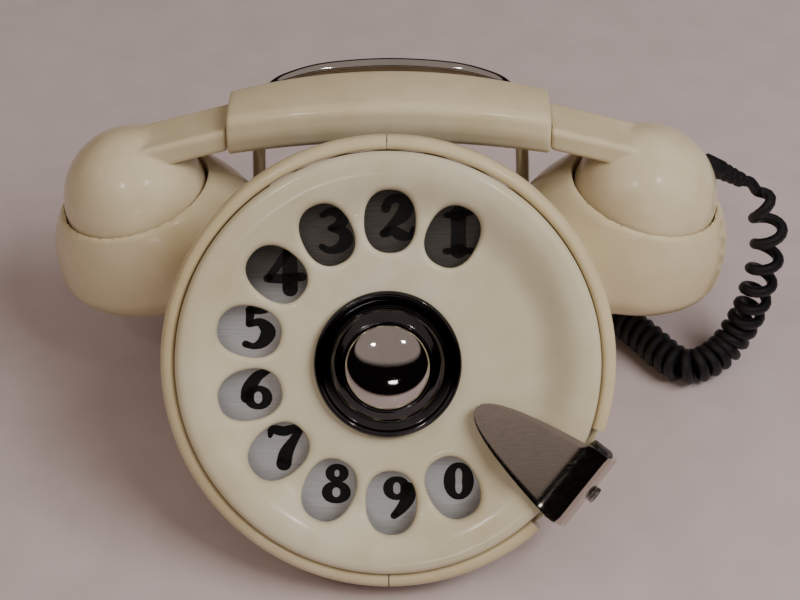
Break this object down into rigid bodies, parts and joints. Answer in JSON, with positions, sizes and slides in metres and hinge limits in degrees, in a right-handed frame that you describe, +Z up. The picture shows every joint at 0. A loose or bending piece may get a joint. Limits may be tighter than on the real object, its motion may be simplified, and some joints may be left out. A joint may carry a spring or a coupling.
{
  "type": "rotary telephone",
  "caption": "Table telephone with a large tilted rotary dial, a cradle lobe at each side, a lift-off handset on a curly cord and a rod carrying handle.",
  "frame": {"origin": "on the table, under the middle of the telephone without its cord", "axes": "+X to the user's right along the handset, +Y away from the user, +Z up; the dial faces -Y and up"},
  "size_m": [0.2615, 0.1778, 0.1255],
  "materials": {
    "ivory_shell": "aged ivory moulded plastic, glossy",
    "ivory_handset": "aged ivory moulded plastic, glossy, slightly yellower",
    "chrome": "polished chrome plate, lightly scratched",
    "number_plate": "satin aluminium with printed black numerals",
    "steel": "zinc-plated steel",
    "brass": "plain brass",
    "black_plastic": "black moulded plastic",
    "copper": "varnished winding",
    "board": "paper laminate board",
    "rubber": "black rubber and vinyl"
  },
  "bodies": {
    "base": {"lower_housing": "ivory_shell", "upper_housing": "ivory_shell", "bezel_left": "ivory_shell", "bezel_upper_right": "ivory_shell", "bezel_lower_right": "ivory_shell", "carry_handle": "chrome", "finger_stop": "chrome", "number_plate": "number_plate", "screw_front_left": "steel", "screw_front_right": "steel", "screw_rear_left": "steel", "screw_rear_right": "steel", "finger_stop_screw": "steel", "return_spring": "steel", "dial_bridge": "steel", "governor_bracket": "steel", "governor_cup": "steel", "ringer_frame": "steel", "line_transformer": "steel", "hook_switch_frame": "steel", "dial_bush": "brass", "contact_springs": "brass", "left_gong": "brass", "right_gong": "brass", "dial_plate": "black_plastic", "finger_stop_bracket": "black_plastic", "contact_block": "black_plastic", "terminal_block": "black_plastic", "hook_contacts": "black_plastic", "left_coil": "copper", "right_coil": "copper", "line_capacitor": "copper", "circuit_board": "board", "foot_front_left": "rubber", "foot_front_right": "rubber", "foot_rear_left": "rubber", "foot_rear_right": "rubber", "cord_gland": "rubber", "line_inlet": "rubber", "handset_cord": "rubber"},
    "dial": {"finger_wheel": "ivory_shell", "dial_flange": "chrome", "dial_dome": "chrome", "dial_shaft": "steel", "main_gear": "brass", "pulse_cam": "steel"},
    "transfer": {"transfer_gear": "brass"},
    "governor": {"governor_shaft": "steel", "governor_weight_left": "brass", "governor_weight_right": "brass"},
    "clapper": {"clapper": "steel"},
    "plunger": {"hook_plunger": "black_plastic"},
    "lever": {"hook_lever": "black_plastic"},
    "handset": {"handset_shell": "ivory_handset", "grip_sleeve": "ivory_handset", "ear_cap": "ivory_handset", "mouth_cap": "ivory_handset", "receiver_capsule": "steel", "transmitter_capsule": "black_plastic", "cord_boot": "rubber"}
  },
  "joints": [
    {"name": "dial_spin", "type": "hinge", "parent": "base", "child": "dial", "pos_m": [0, -0.03253, 0.066], "axis": [0, 0.788, -0.6157], "range_deg": [0, 306], "stiffness_Nm_per_rad": 0.004, "springref_deg": -114.59},
    {"name": "transfer_spin", "type": "hinge", "parent": "base", "child": "transfer", "pos_m": [-0.0126, -0.00333, 0.07088], "axis": [0, 0.788, -0.6157], "range_deg": [-1540, 10]},
    {"name": "governor_spin", "type": "hinge", "parent": "base", "child": "governor", "pos_m": [-0.029, 0.00014, 0.06817], "axis": [0, -0.6157, -0.788], "range_deg": [-10, 3100]},
    {"name": "clapper_swing", "type": "hinge", "parent": "base", "child": "clapper", "pos_m": [0, 0.02547, 0.024], "axis": [0, 0, 1], "range_deg": [-6, 6], "stiffness_Nm_per_rad": 0.002},
    {"name": "handset_lift", "type": "slide", "parent": "base", "child": "handset", "axis": [0, 0, 1], "range_m": [0, 0.1]},
    {"name": "plunger_rise", "type": "slide", "parent": "base", "child": "plunger", "axis": [0, 0, 1], "range_m": [0, 0.0031]},
    {"name": "lever_tilt", "type": "hinge", "parent": "base", "child": "lever", "pos_m": [0.062, 0.04147, 0.047], "axis": [0, -1, 0], "range_deg": [0, 6]}
  ],
  "couplings": [
    {"joint": "transfer_spin", "follows": "dial_spin", "ratio": -5},
    {"joint": "governor_spin", "follows": "dial_spin", "ratio": 10},
    {"joint": "plunger_rise", "follows": "handset_lift", "ratio": 0.03},
    {"joint": "lever_tilt", "follows": "handset_lift", "rad_per_m": 0.96}
  ]
}
